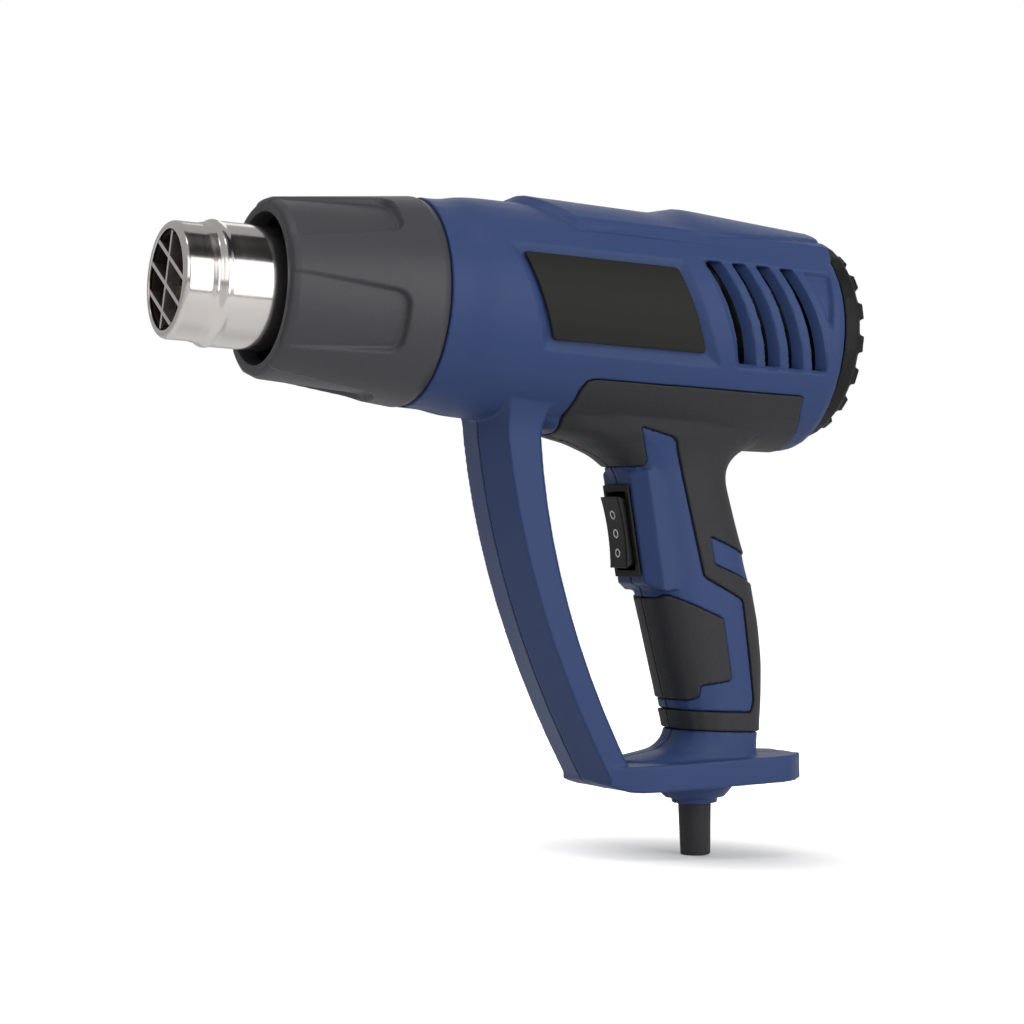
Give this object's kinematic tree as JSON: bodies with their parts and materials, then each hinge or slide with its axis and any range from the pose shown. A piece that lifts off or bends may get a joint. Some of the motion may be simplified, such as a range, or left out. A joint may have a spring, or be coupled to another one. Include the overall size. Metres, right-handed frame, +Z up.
{
  "type": "hot air tool",
  "caption": "Pistol-shaped hot air tool: steel nozzle in a heat shield collar, split casing with a hand guard, rubber grip covers, a rocker switch, and a motor, fan and heater inside.",
  "frame": {"origin": "middle of the grip, on the tool's middle plane", "axes": "+X back along the barrel, away from the nozzle; +Y to the tool's right; +Z up with the grip hanging down"},
  "size_m": [0.2281, 0.069, 0.2105],
  "materials": {
    "casing_plastic": "fine moulded grain, satin",
    "grip_rubber": "matt overmoulded rubber",
    "shield_plastic": "matt heat-resistant plastic",
    "black_plastic": "satin",
    "nozzle_steel": "turned and polished",
    "zinc_steel": "zinc plated",
    "mica": "rolled mica sheet",
    "heater_ceramic": "unglazed",
    "coil_wire": "oxidised resistance wire",
    "board_laminate": "solder resist"
  },
  "bodies": {
    "housing": {"left_casing": "casing_plastic", "right_casing": "casing_plastic", "left_grip_cover": "grip_rubber", "right_grip_cover": "grip_rubber", "left_palm_pad": "grip_rubber", "right_palm_pad": "grip_rubber", "left_window_panel": "black_plastic", "right_window_panel": "black_plastic", "nozzle_tube": "nozzle_steel", "nozzle_grille": "nozzle_steel", "heat_shield_collar": "shield_plastic", "rear_cap": "black_plastic", "switch_body": "black_plastic", "rocker_pin": "zinc_steel", "control_board": "board_laminate", "cord_sleeve": "grip_rubber", "cable_clamp": "black_plastic", "mica_sleeve": "mica", "heater_core": "heater_ceramic", "heating_coil": "coil_wire", "air_duct": "black_plastic", "motor_can": "zinc_steel", "motor_mount": "black_plastic", "casing_screw_1": "zinc_steel", "casing_screw_2": "zinc_steel", "casing_screw_3": "zinc_steel", "casing_screw_4": "zinc_steel", "casing_screw_5": "zinc_steel", "casing_screw_6": "zinc_steel", "clamp_screw_1": "zinc_steel", "clamp_screw_2": "zinc_steel"},
    "rocker": {"switch_rocker": "black_plastic"},
    "rotor": {"motor_shaft": "zinc_steel", "fan_impeller": "black_plastic"}
  },
  "joints": [
    {"name": "rocker_tilt", "type": "hinge", "parent": "housing", "child": "rocker", "pos_m": [-0.02523, 0, 0.01597], "axis": [0, 1, 0], "range_deg": [-10, 10]},
    {"name": "rotor_spin", "type": "hinge", "parent": "housing", "child": "rotor", "pos_m": [0, 0, 0.0825], "axis": [1, 0, 0], "continuous": true}
  ]
}
